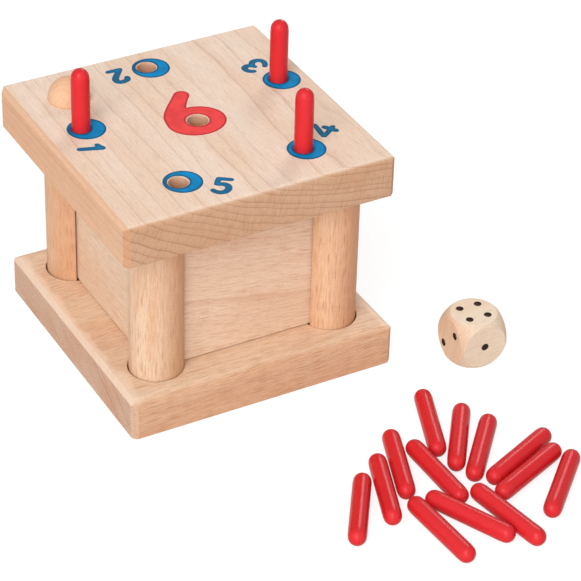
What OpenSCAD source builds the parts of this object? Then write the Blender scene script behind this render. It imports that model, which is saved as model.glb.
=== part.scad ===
// Wooden peg game: a box on four round posts with a swivelling lid that is drilled for pegs,
// red round-ended pegs and a die. Millimetres. The origin is the middle of the base's underside,
// +X runs to the right along the front edge, +Y to the back and +Z up.

/* [Boards] */
// Side of the two square boards, base and lid
board_side = 109; // [99:0.5:131]
// Thickness of the base board
base_t = 16.7; // [12:0.1:24]
// Thickness of the lid board
lid_t = 16.7; // [14.2:0.1:24]
// Lid's middle to the right of the base's
lid_dx = -1.6; // [-3:0.1:2]
// Lid's middle behind the base's
lid_dy = 1.3; // [-1:0.1:3]
// Chamfer along the boards' upright corners
corner_cut = 2.1; // [0.5:0.1:4]
// Chamfer along the boards' left and right top edges
side_cut = 1.7; // [0.4:0.1:3]
// Chamfer along the boards' bottom edges
foot_cut = 0.7; // [0.2:0.1:1.5]
// Roundover along the base's front and back top edges
base_round = 4.5; // [1:0.1:8]
// Roundover along the lid's front top edge
lid_round = 2.5; // [0.5:0.1:5]
// Roundover along the lid's back top edge
lid_back_round = 0.8; // [0.4:0.1:5]

/* [Posts and side panels] */
// Diameter of the four posts
post_d = 20.5; // [19:0.1:24]
// Posts' middles in from the base's edges
post_inset = 18.25; // [16:0.25:20]
// Free height between base and lid
wall_h = 58.5; // [45:0.5:80]
// Depth of the posts' sockets in the base
socket_depth = 8; // [4:0.5:10]
// Play around a post in its socket, on the radius
socket_play = 0.4; // [0.2:0.05:0.6]
// Sockets' middles outside the posts' middles, each way
socket_shift = 0.2; // [0:0.05:0.25]
// Thickness of the four side panels
panel_t = 5; // [3:0.1:6]
// Depth of the grooves in the posts that hold the panels
groove_depth = 4; // [2:0.1:5]
// Play of a panel in its groove, each side
groove_play = 0.1; // [0.05:0.01:0.2]

/* [Pivot pin] */
// Diameter of the pin's shank, which the lid turns on
pin_d = 8; // [6:0.1:9]
// Running clearance between the shank and the lid, on the radius
pin_play = 0.08; // [0.02:0.01:0.1]
// Glue gap around the shank in the post, on the radius
glue_gap = 0.04; // [0.01:0.01:0.1]
// Length of the shank inside the post
pin_depth = 26; // [15:0.5:38]
// Diameter of the pin's domed head
head_d = 16; // [12:0.1:18]
// Height of the pin's domed head
head_h = 8.6; // [3:0.1:8.8]
// Height of the straight rim under the dome
head_rim = 0.8; // [0.2:0.1:1]

/* [Pegs and their holes] */
// Diameter of the pegs
peg_d = 7; // [5:0.1:9]
// Length of the pegs
peg_len = 37; // [28:0.5:50]
// Shoulder that the rounding cutter leaves at the pegs' ends
end_step = 0.12; // [0.05:0.01:0.3]
// Play around a peg in a ring hole, on the radius
peg_play = 0.2; // [0.1:0.05:0.4]
// Play around a peg in the middle hole, on the radius
drop_play = 0.45; // [0.3:0.05:0.8]
// Depth of the ring holes
hole_depth = 12; // [6:0.5:12.5]
// Easing of the holes' mouths
mouth_ease = 0.4; // [0.2:0.1:0.8]
// Air under a standing peg's round end
seat_gap = 0.2; // [0.1:0.05:0.5]
// Ring of the five holes in from the lid's edges
ring_edge = 11.5; // [9:0.5:24]
// Ring's middle to the right of the lid's
ring_dx = 1.1; // [-2:0.1:2]
// Ring's middle behind the lid's
ring_dy = 0; // [-2:0.1:2]

/* [Die] */
// Edge of the die
die_edge = 20; // [14:0.5:26]
// Diameter of the ball that rounds the die's corners, in edges
die_ball = 1.34; // [1.25:0.01:1.6]
// Diameter of the pips at the die's face
pip_d = 2.9; // [2:0.1:3.4]
// Depth of the pips
pip_depth = 0.5; // [0.2:0.1:0.8]
// Outer pips' middles from the middle of their face, each way
pip_step = 3.9; // [3.5:0.1:4.3]
// Die's middle to the right of the base's right edge
die_out = 29.5; // [20:0.5:60]
// Die's middle in front of the base's front edge
die_front = 9.2; // [-20:0.1:20]
// Turn of the die on the table, in degrees
die_turn = -2.3; // [-45:0.1:45]

/* [Loose pegs] */
// Middle of the heap's fourth peg to the right of the base's middle
heap_x = 33; // [0:0.5:40]
// Middle of the same peg in front of the base's front edge
heap_front = 68.5; // [65:0.5:115]
// Gap between loose pegs that lie against each other
heap_gap = 0.4; // [0.2:0.05:0.8]

/* [Hidden] */
$fn = 64;

base_top = base_t;
lid_under = base_top + wall_h;
lid_top = lid_under + lid_t;
post_off = board_side / 2 - post_inset;
post_r = post_d / 2;
groove_floor = post_r - groove_depth;
panel_len = 2 * (post_off - groove_floor - groove_play);
peg_r = peg_d / 2;
ring_hole_r = peg_r + peg_play;
drop_hole_r = peg_r + drop_play;
ring_r = board_side / 2 - ring_edge;
ring_x = lid_dx + ring_dx;
ring_y = lid_dy + ring_dy;
// Hole 2 stands at the back, and the numbers run clockwise seen from above
first_angle = 90;
hole_step = 360 / 5;
// Longer than any cut needs, so that the cuts pass clean through
past = 1;

wood = "#dcb48c";
pale_wood = "#ecd3a4";
red = "#d9232e";

function hole_angle(number) = first_angle + hole_step * (2 - number);
function hole_place(number) =
    [ring_x + ring_r * cos(hole_angle(number)), ring_y + ring_r * sin(hole_angle(number))];

// A square of the given side with its four corners cut off
module cut_square(side, cut) {
    h = side / 2;
    polygon([
        [-h + cut, -h], [h - cut, -h], [h, -h + cut], [h, h - cut],
        [h - cut, h], [-h + cut, h], [-h, h - cut], [-h, -h + cut]
    ]);
}

// A board's section with chamfered top and bottom edges, standing on the line y = 0
module chamfered_section(side, t, top_cut, bottom_cut) {
    h = side / 2;
    polygon([
        [-h + bottom_cut, 0], [h - bottom_cut, 0], [h, bottom_cut], [h, t - top_cut],
        [h - top_cut, t], [-h + top_cut, t], [-h, t - top_cut], [-h, bottom_cut]
    ]);
}

// The same section with its two top edges rounded over, front and back by their own radii
module rounded_section(side, t, front_r, back_r, bottom_cut) {
    h = side / 2;
    difference() {
        chamfered_section(side, t, 0, bottom_cut);
        for (s = [-1, 1]) {
            r = s < 0 ? front_r : back_r;
            translate([s * (h - r), t - r])
                difference() {
                    translate([s * (r + past) / 2, (r + past) / 2])
                        square(r + past, center = true);
                    circle(r);
                }
        }
    }
}

// A square board: plan, side-edge section and front-edge section cut one another
module board(side, t, front_r, back_r) {
    intersection() {
        linear_extrude(t)
            cut_square(side, corner_cut);
        rotate([90, 0, 0])
            linear_extrude(side + 2 * past, center = true)
                chamfered_section(side, t, side_cut, foot_cut);
        rotate([90, 0, 90])
            linear_extrude(side + 2 * past, center = true)
                rounded_section(side, t, front_r, back_r, foot_cut);
    }
}

module base_board() {
    color(wood)
        difference() {
            board(board_side, base_t, base_round, base_round);
            for (sx = [-1, 1], sy = [-1, 1])
                translate([sx * (post_off + socket_shift), sy * (post_off + socket_shift),
                           base_top - socket_depth])
                    cylinder(h = socket_depth + past, r = post_r + socket_play);
        }
}

// A peg hole to be cut from the lid, its mouth eased
module peg_hole(r, depth) {
    translate([0, 0, lid_top - depth])
        cylinder(h = depth + past, r = r);
    translate([0, 0, lid_top - mouth_ease])
        cylinder(h = mouth_ease + past, r1 = r, r2 = r + mouth_ease + past);
}

module lid_board() {
    color(wood)
        difference() {
            translate([lid_dx, lid_dy, lid_under])
                board(board_side, lid_t, lid_round, lid_back_round);
            for (number = [1 : 5])
                translate(hole_place(number))
                    peg_hole(ring_hole_r, hole_depth);
            translate([ring_x, ring_y])
                peg_hole(drop_hole_r, lid_t + past);
            translate([-post_off, post_off, lid_under - past])
                cylinder(h = lid_t + 2 * past, r = pin_d / 2 + pin_play);
        }
}

// A post with a groove towards each of its two neighbours; sx and sy give its corner
module post(sx, sy) {
    slot_w = panel_t + 2 * groove_play;
    translate([sx * post_off, sy * post_off, base_top - socket_depth])
        difference() {
            cylinder(h = socket_depth + wall_h, r = post_r);
            translate([-sx * (groove_floor + post_r / 2), 0, socket_depth + wall_h / 2])
                cube([post_r, slot_w, wall_h + past * 2], center = true);
            translate([0, -sy * (groove_floor + post_r / 2), socket_depth + wall_h / 2])
                cube([slot_w, post_r, wall_h + past * 2], center = true);
        }
}

module post_front_left() {
    color(wood)
        post(-1, -1);
}

module post_front_right() {
    color(wood)
        post(1, -1);
}

// The post that carries the pin
module post_back_left() {
    color(wood)
        difference() {
            post(-1, 1);
            translate([-post_off, post_off, lid_under - pin_depth - glue_gap])
                cylinder(h = pin_depth + past, r = pin_d / 2 + glue_gap);
        }
}

module post_back_right() {
    color(wood)
        post(1, 1);
}

// A side panel in the plane of the posts' middles, standing on the base
module panel() {
    translate([-panel_len / 2, -panel_t / 2, base_top])
        cube([panel_len, panel_t, wall_h]);
}

module panel_front() {
    color(wood)
        translate([0, -post_off, 0])
            panel();
}

module panel_back() {
    color(wood)
        translate([0, post_off, 0])
            panel();
}

module panel_left() {
    color(wood)
        translate([-post_off, 0, 0])
            rotate([0, 0, 90])
                panel();
}

module panel_right() {
    color(wood)
        translate([post_off, 0, 0])
            rotate([0, 0, 90])
                panel();
}

// The pin is glued into the post, and its head keeps the lid down
module pivot_pin() {
    head_r = head_d / 2;
    dome_h = head_h - head_rim;
    dome_r = (head_r * head_r + dome_h * dome_h) / (2 * dome_h);
    color(pale_wood)
        translate([-post_off, post_off, 0]) {
            translate([0, 0, lid_under - pin_depth])
                cylinder(h = pin_depth + lid_t + head_rim, r = pin_d / 2);
            translate([0, 0, lid_top])
                rotate_extrude()
                    intersection() {
                        translate([0, head_h - dome_r])
                            circle(dome_r);
                        square([head_r, head_h]);
                    }
        }
}

// A peg along +Z from 0 to its length, both ends rounded
module peg() {
    end_r = peg_r - end_step;
    translate([0, 0, end_r])
        cylinder(h = peg_len - 2 * end_r, r = peg_r);
    for (z = [end_r, peg_len - end_r])
        translate([0, 0, z])
            sphere(end_r);
}

module standing_peg(number) {
    color(red)
        translate([each hole_place(number), lid_top - hole_depth + seat_gap])
            peg();
}

// Half the length between the middles of a peg's round ends
reach = peg_len / 2 - peg_r + end_step;
// Distance between the axes of two loose pegs that lie against each other
lie = peg_d + heap_gap;

function along(turn) = [cos(turn), sin(turn)];

// A lying peg is given as its middle's X and Y and its turn. This is a point on its axis,
// where a share of 1 or -1 is the middle of a round end
function on_axis(spot, share) = [spot[0], spot[1]] + reach * share * along(spot[2]);

// A peg whose point at own_share lies beside the given point of another, in direction way
function beside(spot, share, way, own_share, turn) =
    let (middle = on_axis(spot, share) + lie * along(way) - reach * own_share * along(turn))
    [middle[0], middle[1], turn];

// A peg whose upper end lies beside the lower end of one peg, and its side against another's
function leaning(spot, way, prop) =
    let (top = on_axis(spot, -1) + lie * along(way),
         foot = on_axis(prop, -1),
         turn = atan2(top[1] - foot[1], top[0] - foot[0]) + asin(lie / norm(top - foot)),
         middle = top - reach * along(turn))
    [middle[0], middle[1], turn];

// A peg under another's left end, slid along until its own end meets the side of a third
function wedged(over, prop, turn) =
    let (under = on_axis(over, -1) - lie * along(turn + 90),
         across = along(prop[2] - 90),
         slide = (lie - (under - on_axis(prop, 0)) * across) / (along(turn) * across),
         middle = under + (slide + reach) * along(turn))
    [middle[0], middle[1], turn];

// The heap builds up from its fourth peg, and each of the others lies against one before it
heap_4 = [heap_x, -board_side / 2 - heap_front, 91];
heap_3 = beside(heap_4, 1, 160, 0.54, 70);
heap_2 = beside(heap_3, -1, 160, -0.11, 70);
heap_1 = beside(heap_2, 0.32, 160, 1, 57);
heap_5 = beside(heap_4, 0.76, 1, -1, 69);
heap_6 = beside(heap_5, -1, -35, -0.51, 55);
heap_7 = beside(heap_6, -1, -41, -0.72, 49);
heap_8 = beside(heap_7, -1, -42, -1, 23);
heap_12 = beside(heap_4, -1, -155, 0.62, 115);
heap_13 = beside(heap_12, 1, -176, 0.97, 94);
heap_11 = leaning(heap_4, -14, heap_12);
heap_9 = wedged(heap_8, heap_11, 22);
heap_10 = beside(heap_9, 1, -58, 1, 44);
heap = [
    heap_1, heap_2, heap_3, heap_4, heap_5, heap_6, heap_7,
    heap_8, heap_9, heap_10, heap_11, heap_12, heap_13
];

module loose_peg(i) {
    color(red)
        translate([each on_axis(heap[i - 1], 0), peg_r])
            rotate([0, 0, heap[i - 1][2]])
                translate([-peg_len / 2, 0, 0])
                    rotate([0, 90, 0])
                        peg();
}

// Where the pips of a number stand, in steps from the middle of their face
function pips(number) = concat(
    number % 2 == 1 ? [[0, 0]] : [],
    number > 1 ? [[-1, 1], [1, -1]] : [],
    number > 3 ? [[-1, -1], [1, 1]] : [],
    number > 5 ? [[-1, 0], [1, 0]] : []
);

// Pips to be cut from the die's top face; turn carries them to another face
module pips_on(number, turn) {
    ball_r = (pip_d * pip_d / 4 + pip_depth * pip_depth) / (2 * pip_depth);
    rotate(turn)
        for (p = pips(number))
            translate([each pip_step * p, die_edge / 2 - pip_depth + ball_r])
                sphere(ball_r);
}

module die() {
    color(pale_wood)
        translate([board_side / 2 + die_out, -board_side / 2 - die_front, die_edge / 2])
            rotate([0, 0, die_turn])
                difference() {
                    intersection() {
                        cube(die_edge, center = true);
                        sphere(d = die_ball * die_edge);
                    }
                    pips_on(4, [0, 0, 0]);
                    pips_on(3, [180, 0, 0]);
                    pips_on(1, [90, 0, 0]);
                    pips_on(6, [-90, 0, 0]);
                    pips_on(2, [0, -90, 0]);
                    pips_on(5, [0, 90, 0]);
                }
}

base_board();
lid_board();
pivot_pin();
post_front_left();
post_front_right();
post_back_left();
post_back_right();
panel_front();
panel_back();
panel_left();
panel_right();
for (number = [1, 3, 4])
    standing_peg(number);
for (i = [1 : len(heap)])
    loose_peg(i);
die();
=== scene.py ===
import math

import bmesh
import bpy
from mathutils import Matrix, Vector
from mathutils.geometry import delaunay_2d_cdt
from mathutils.kdtree import KDTree


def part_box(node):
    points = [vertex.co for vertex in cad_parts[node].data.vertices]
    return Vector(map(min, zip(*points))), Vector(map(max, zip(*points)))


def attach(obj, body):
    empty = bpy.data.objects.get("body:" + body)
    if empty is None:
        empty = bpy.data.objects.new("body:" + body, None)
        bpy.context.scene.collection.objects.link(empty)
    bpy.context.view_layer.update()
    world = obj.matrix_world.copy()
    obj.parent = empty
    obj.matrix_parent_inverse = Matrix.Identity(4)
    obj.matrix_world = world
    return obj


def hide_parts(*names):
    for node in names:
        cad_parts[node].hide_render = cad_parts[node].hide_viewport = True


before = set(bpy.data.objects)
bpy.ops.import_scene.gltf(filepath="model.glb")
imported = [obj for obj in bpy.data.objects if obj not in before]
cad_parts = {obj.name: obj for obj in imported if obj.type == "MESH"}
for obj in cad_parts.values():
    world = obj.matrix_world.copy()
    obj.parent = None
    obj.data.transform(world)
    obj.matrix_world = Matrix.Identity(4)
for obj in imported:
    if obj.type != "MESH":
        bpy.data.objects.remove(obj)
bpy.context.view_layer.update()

MM = 0.001
UP = Vector((0, 0, 1))

# Sizes, in millimetres
CORNER_CUT, SIDE_CUT, FOOT_CUT = 2.1, 1.7, 0.4     # chamfers: upright corners, top side edges, bottom edges
BASE_ROUND, LID_ROUND, LID_BACK_ROUND = 4.5, 2.5, 0.8
BOARD_ARRIS, POST_ARRIS, PANEL_ARRIS, DIE_ARRIS = 0.25, 0.12, 0.35, 0.25   # sanding of sharp edges
POST_OFF, POST_R, GROOVE_FLOOR, GROOVE_W = 36.25, 10.25, 6.25, 6.4
PANEL_LIFT = 0.3    # how far the panels hang above the base
SOCKET_OFF, SOCKET_R, SOCKET_DEPTH, SOCKET_MOUTH = Vector((36.47, 36.3)), 10.52, 8.0, 0.15
PIN_R, PIN_HOLE_R, PIN_BORE_R, PIN_BORE_DEPTH = 4.0, 4.08, 4.04, 26.04
HEAD_R, HEAD_H, HEAD_RIM, HEAD_EASE, SHANK_EASE = 8.0, 8.6, 0.8, 0.35, 0.5
RING_AT, RING_R = Vector((-0.5, 1.3)), 43.0
RING_HOLE_R, DROP_HOLE_R, HOLE_DEPTH, MOUTH, FILLED_MOUTH = 3.6, 3.85, 12.0, 0.4, 0.1
PEG_R, PEG_LEN, PEG_SHOULDER, PAINT_SAG = 3.5, 37.0, 0.12, 0.03
DIE_HALF, DIE_BALL, DIE_TURN = 10.0, 13.4, -2.3  # the turn in degrees
PIP_R, PIP_DEPTH, PIP_STEP = 1.55, 0.5, 3.9
PIP_BALL = (PIP_R ** 2 + PIP_DEPTH ** 2) / (2 * PIP_DEPTH)
PIP_PAINT, PIP_RIM_PAINT = 0.05, 0.014   # the paint's thickness in the middle and at the rim
STANDING = (1, 3, 4)    # the ring holes that hold a peg
PRINT_AT, PRINT_R, DISC_R = Vector((0.78, 0.46)), 42.6, 7.26
DIGIT_FROM_DISC, DIGIT_SWELL = 14.3, 0.14    # the swell widens each brush stroke
INK_T, INK_SUNK, INK_RIM = 0.04, 0.02, 1.2   # above the wood, into it, and the darker rim's width


def srgb(r, g, b):
    """A colour written as it looks on a screen, 0 to 255, as Blender's linear RGBA."""
    def lin(c):
        c /= 255
        return c / 12.92 if c <= 0.04045 else ((c + 0.055) / 1.055) ** 2.4
    return (lin(r), lin(g), lin(b), 1.0)


# Node helpers
def put(value, socket):
    """Links a socket, or sets a plain value."""
    if isinstance(value, bpy.types.NodeSocket):
        socket.id_data.links.new(value, socket)
    else:
        socket.default_value = value


def node(tree, kind, inputs=None, **props):
    n = tree.nodes.new(kind)
    for k, v in props.items():
        setattr(n, k, v)
    for k, v in (inputs or {}).items():
        put(v, n.inputs[k])
    return n


def shade(tree, kind, inputs=None, **props):
    """The first output of a new shader node."""
    return node(tree, "ShaderNode" + kind, inputs, **props).outputs[0]


def geo(tree, kind, inputs=None, **props):
    """The first output of a new geometry node."""
    return node(tree, "GeometryNode" + kind, inputs, **props).outputs[0]


def calc(tree, op, a, b=0.0, c=0.0, clamp=False):
    return shade(tree, "Math", {0: a, 1: b, 2: c}, operation=op, use_clamp=clamp)


def times(tree, a, b):
    return calc(tree, "MULTIPLY", a, b)


def times_plus(tree, a, b, c, clamp=False):
    return calc(tree, "MULTIPLY_ADD", a, b, c, clamp)


def vmath(tree, op, a, b=(0, 0, 0)):
    n = node(tree, "ShaderNodeVectorMath", {0: a, 1: b}, operation=op)
    return n.outputs["Value"] if op == "LENGTH" else n.outputs[0]


def scaled(tree, vector, amount):
    return shade(tree, "VectorMath", {0: vector, "Scale": amount}, operation="SCALE")


def combine(tree, x=0.0, y=0.0, z=0.0):
    return shade(tree, "CombineXYZ", {0: x, 1: y, 2: z})


def split(tree, vector):
    return node(tree, "ShaderNodeSeparateXYZ", {0: vector}).outputs


def mix(tree, factor, a, b, blend="MIX"):
    return node(tree, "ShaderNodeMix", {0: factor, 6: a, 7: b},
                data_type="RGBA", blend_type=blend, clamp_factor=True).outputs[2]


def ease(tree, value, low, high, out_low=0.0, out_high=1.0):
    """Smooth step from low to high."""
    ends = {"Value": value, "From Min": low, "From Max": high, "To Min": out_low, "To Max": out_high}
    return shade(tree, "MapRange", ends, interpolation_type="SMOOTHSTEP")


def ramp(tree, value, stops):
    n = node(tree, "ShaderNodeValToRGB", {"Fac": value})
    e = n.color_ramp.elements
    while len(e) < len(stops):
        e.new(0.5)
    for el, (at, grey) in zip(e, stops):
        el.position, el.color = at, (grey, grey, grey, 1)
    return n.outputs["Color"]


def noise(tree, vector, stretch=None, detail=2, rough=0.5, output="Fac"):
    """Noise that changes over about a metre, or finer by the stretch along each axis."""
    at = vmath(tree, "MULTIPLY", vector, stretch) if stretch else vector
    inputs = {"Vector": at, "Scale": 1.0, "Detail": detail, "Roughness": rough}
    return node(tree, "ShaderNodeTexNoise", inputs, normalize=True).outputs[output]


def marked(tree, name):
    """A piece's own attribute."""
    return node(tree, "ShaderNodeAttribute", attribute_name=name).outputs["Fac"]


def here(tree):
    return node(tree, "ShaderNodeTexCoord").outputs["Object"]


def new_tree(name, takes, gives, kind="ShaderNodeTree"):
    """A new node group. takes and gives list its sockets' names under their kind."""
    tree = bpy.data.node_groups.new(name, kind)
    for way, sockets in (("INPUT", takes), ("OUTPUT", gives)):
        for socket, names in sockets.items():
            for label in names.split(", "):
                tree.interface.new_socket(name=label, in_out=way, socket_type="NodeSocket" + socket)
    return tree, tree.nodes.new("NodeGroupInput").outputs, tree.nodes.new("NodeGroupOutput").inputs


def use(tree, group, **values):
    """Places a group. Keywords are its inputs with _ for a space, and colours are as on a screen."""
    n = tree.nodes.new("ShaderNodeGroup")
    n.node_tree = group
    for k, v in values.items():
        socket = n.inputs[k.replace("_", " ")]
        put(srgb(*v) if socket.type == "RGBA" and isinstance(v, tuple) else v, socket)
    return n.outputs


# Finishes
SKIN = {"Color": "Color", "Float": "Roughness, Height"}


def make_tree_growth():
    """Bends a point a little, as the tree grew, and gives its distance from the pith. The Vector is in
    metres in the wood's own frame: X along the grain, and the pith on the X axis."""
    t, i, o = new_tree("tree growth", {"Vector": "Vector", "Float": "Wave"},
                       {"Vector": "Vector", "Float": "Radius"})
    half = (0.5, 0.5, 0.5)
    slow = vmath(t, "SUBTRACT", noise(t, i["Vector"], (14, 55, 55), 2, 0.45, "Color"), half)
    quick = vmath(t, "SUBTRACT", noise(t, i["Vector"], (70, 330, 330), 2, 0.5, "Color"), half)
    bend = vmath(t, "ADD", slow, vmath(t, "MULTIPLY", quick, (0, 0.14, 0.14)))
    grown = vmath(t, "ADD", i["Vector"], scaled(t, bend, i["Wave"]))
    put(grown, o["Vector"])
    put(vmath(t, "LENGTH", vmath(t, "MULTIPLY", grown, (0, 1, 1))), o["Radius"])
    return t


def make_beech_figure():
    """Growth rings, one to each whole number of Years, with ray flecks, fibres and pores, deeper in
    colour up to the Heartwood's radius. The Vector comes from tree growth."""
    t, i, o = new_tree("beech figure", {
        "Vector": "Vector", "Color": "Light, Deep, Line, Fleck",
        "Float": "Years, Ring Depth, Fleck Depth, Fibre Depth, Ray Depth, Pith Distance, Heartwood"}, SKIN)
    at = i["Vector"]
    ring = ramp(t, calc(t, "FRACT", i["Years"]),
                [(0.0, 0.3), (0.04, 0.0), (0.5, 0.0), (0.86, 0.15), (0.94, 0.5), (0.975, 1.0), (1.0, 0.3)])
    lot = shade(t, "TexWhiteNoise", {"W": calc(t, "FLOOR", i["Years"])}, noise_dimensions="1D")
    ring = times(t, ring, times_plus(t, lot, 0.55, 0.45))
    # Rays: thin plates that stand out from the pith, seen as short dark dashes on the boards' faces
    xyz = split(t, at)
    radius = vmath(t, "LENGTH", vmath(t, "MULTIPLY", at, (0, 1, 1)))
    round_pith = times(t, calc(t, "ARCTAN2", xyz["Z"], xyz["Y"]), i["Pith Distance"])

    def along_rays(length, width, depth):
        return combine(t, times(t, xyz["X"], 1 / length), times(t, round_pith, 1 / width),
                       times(t, radius, 1 / depth))

    hatch = noise(t, along_rays(0.02, 0.00055, 0.006), None, 2, 0.6)
    cell = node(t, "ShaderNodeTexVoronoi", {
        "Vector": along_rays(0.0075, 0.0005, 0.0009), "Scale": 1.0, "Randomness": 1.0}).outputs
    chosen = ease(t, shade(t, "SeparateColor", {0: cell["Color"]}), 0.35, 1.0)
    fleck = times(t, ease(t, cell["Distance"], 0.5, 0.1), chosen)
    fibres = noise(t, at, (150, 2100, 2100), 3, 0.6)
    pores = noise(t, at, (900, 5200, 5200), 2, 0.6)
    tone = noise(t, at, (11, 60, 60), 3, 0.55)
    heartwood_shade = ease(t, radius, i["Heartwood"], calc(t, "ADD", i["Heartwood"], 0.014), 1.0, 0.0)
    colour = mix(t, calc(t, "MAXIMUM", ease(t, tone, 0.3, 0.7), heartwood_shade), i["Light"], i["Deep"])
    for mark, strength, tint in (("Ring", ring, "Line"), ("Fleck", fleck, "Fleck"),
                                 ("Fibre", ease(t, fibres, 0.4, 0.75), "Line"),
                                 ("Ray", ease(t, hatch, 0.48, 0.75), "Line")):
        colour = mix(t, times(t, strength, i[mark + " Depth"]), colour, i[tint])
    speckle = times_plus(t, pores, 0.44, 0.78)
    put(mix(t, 1.0, colour, combine(t, speckle, speckle, speckle), "MULTIPLY"), o["Color"])
    put(times_plus(t, pores, 0.16, times_plus(t, fleck, 0.06, 0.46)), o["Roughness"])
    height = times_plus(t, pores, 0.4, times(t, fleck, -0.5))
    height = times_plus(t, fibres, -0.5, height)
    put(times_plus(t, ring, -0.3, height), o["Height"])
    return t


def make_sanded_faces():
    """End grain looks darker, sawn sides warmer, the chamfers and a strip beside them sanded paler, and
    bored walls rough, by the piece's own end, side, eased and bored marks. The Vector is in metres, and
    Low and High are the piece's corners."""
    t, i, o = new_tree("sanded faces", {
        "Vector": "Vector, Low, High", "Color": "Color, End Tint, Side Tint, Edge Color, Bored Tint",
        "Float": "Roughness, Edge Depth, Edge Reach"}, {"Color": "Color", "Float": "Roughness"})
    at = i["Vector"]
    from_high = vmath(t, "SUBTRACT", i["High"], at)
    inside = vmath(t, "MINIMUM", vmath(t, "SUBTRACT", at, i["Low"]), from_high)
    rubbed = noise(t, at, (90, 45, 90), 3, 0.6)
    reach = times(t, i["Edge Reach"], ease(t, rubbed, 0.3, 0.75, 0.4, 2.2))
    worn = calc(t, "DIVIDE", split(t, inside)["X"], calc(t, "MAXIMUM", reach, 0.0001))
    worn = ease(t, worn, 0.3, 1.0, 1.0, 0.0)
    end = ease(t, marked(t, "end"), 0.3, 0.85)
    side = ease(t, marked(t, "side"), 0.3, 0.85)
    bored = marked(t, "bored")
    colour = mix(t, end, i["Color"], i["End Tint"], "MULTIPLY")
    colour = mix(t, side, colour, i["Side Tint"], "MULTIPLY")
    flat = calc(t, "SUBTRACT", 1.0, calc(t, "MAXIMUM", end, side), clamp=True)
    worn = calc(t, "MAXIMUM", marked(t, "eased"), times(t, worn, flat))
    colour = mix(t, times(t, worn, i["Edge Depth"]), colour, i["Edge Color"])
    # Bored walls are tinted darker the deeper they go: painted shade inside the holes and sockets
    painted_depth_shade = times(t, bored, ease(t, split(t, from_high)["Z"], 0.0, 0.006, 0.45, 1.0))
    put(mix(t, painted_depth_shade, colour, i["Bored Tint"], "MULTIPLY"), o["Color"])
    put(times_plus(t, end, 0.1, times_plus(t, bored, 0.15, i["Roughness"]), clamp=True), o["Roughness"])
    return t


def make_lacquer_skin():
    """Dipped paint on a dowel, thin along the fibres and in clouds, with a fine orange peel. The Vector
    is in metres in the dowel's own frame, with its length along Z."""
    t, i, o = new_tree("lacquer skin",
                       {"Vector": "Vector", "Color": "Color, Thin", "Float": "Roughness"}, SKIN)
    at = i["Vector"]
    fibres = noise(t, at, (2600, 2600, 130), 3, 0.6)
    peel = noise(t, at, (1100, 1100, 1100))
    cloud = noise(t, at, (220, 220, 90))
    thin = times_plus(t, ease(t, fibres, 0.52, 0.75), 0.5, times(t, ease(t, cloud, 0.4, 0.8), 0.5))
    put(mix(t, thin, i["Color"], i["Thin"]), o["Color"])
    rough = times_plus(t, fibres, 0.08, calc(t, "SUBTRACT", i["Roughness"], 0.09))
    put(times_plus(t, peel, 0.1, rough), o["Roughness"])
    put(times_plus(t, fibres, 0.7, times(t, peel, 0.5)), o["Height"])
    return t


def make_printed_ink():
    """Pad-printed ink: thin over the wood, so that its pores and lines show, and darker at the rim."""
    t, i, o = new_tree("printed ink",
                       {"Vector": "Vector", "Color": "Wood, Ink, Rim Ink", "Float": "Rim"}, SKIN)
    at = i["Vector"]
    grain = noise(t, at, (260, 2400, 2400), 3, 0.6)
    stipple = noise(t, at, (1800, 1800, 1800), 2, 0.6)
    pressure = noise(t, at, (170, 170, 170), 1)
    dark = times_plus(t, ease(t, pressure, 0.35, 0.7), 0.35, ease(t, i["Rim"], 0.1, 0.75), clamp=True)
    starved = times(t, ease(t, grain, 0.55, 0.85), ease(t, stipple, 0.45, 0.75))
    put(mix(t, times(t, starved, 0.55), mix(t, dark, i["Ink"], i["Rim Ink"]), i["Wood"]), o["Color"])
    put(times_plus(t, stipple, 0.18, 0.36), o["Roughness"])
    put(times_plus(t, grain, 0.6, times(t, stipple, 0.4)), o["Height"])
    return t


GROWTH = make_tree_growth()
BEECH = make_beech_figure()
FACES = make_sanded_faces()
LACQUER = make_lacquer_skin()
INK = make_printed_ink()


def blank(family, name):
    """A new material or world, and its empty node tree."""
    made = family.new(name)
    made.use_nodes = True
    made.node_tree.nodes.clear()
    return made, made.node_tree


def dress(t, colour, roughness, height, distance, strength, plain):
    """Ends a material in its Principled shader. plain holds what is the same all over the surface."""
    bump = shade(t, "Bump", {"Height": height, "Distance": distance, "Strength": strength})
    skin = shade(t, "BsdfPrincipled", {
        "Base Color": colour, "Roughness": roughness, "Normal": bump, **plain})
    node(t, "ShaderNodeOutputMaterial", {"Surface": skin})


def in_tree(t, wood):
    """Object coordinates, turned and moved to the wood's own frame."""
    return shade(t, "Mapping", {
        "Vector": here(t), "Location": wood.to_translation(), "Rotation": wood.to_euler()})


def wood_frame(along, across, pith):
    """The matrix to the wood's frame, where X runs along the grain, Y across it, and the pith, the tree's
    middle, is the X axis."""
    a, b = Vector(along), Vector(across)
    return Matrix((a, b, a.cross(b))).to_4x4() @ Matrix.Translation(-Vector(pith))


def ring_years(t, radius, lines):
    """Counts years from the pith, given the distances of the rings' dark lines from it in millimetres."""
    start, reach = lines[0], lines[-1] - lines[0]
    share = shade(t, "MapRange", {
        "Value": radius, "From Min": start * MM, "From Max": lines[-1] * MM})
    curve = node(t, "ShaderNodeFloatCurve", {"Value": share})
    points = curve.mapping.curves[0].points
    for k, r in enumerate(lines[1:-1]):
        points.new((r - start) / reach, (k + 1) / (len(lines) - 1))
    for p in points:
        p.handle_type = "VECTOR"
    curve.mapping.update()
    return times(t, curve.outputs[0], len(lines) - 1)


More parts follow.
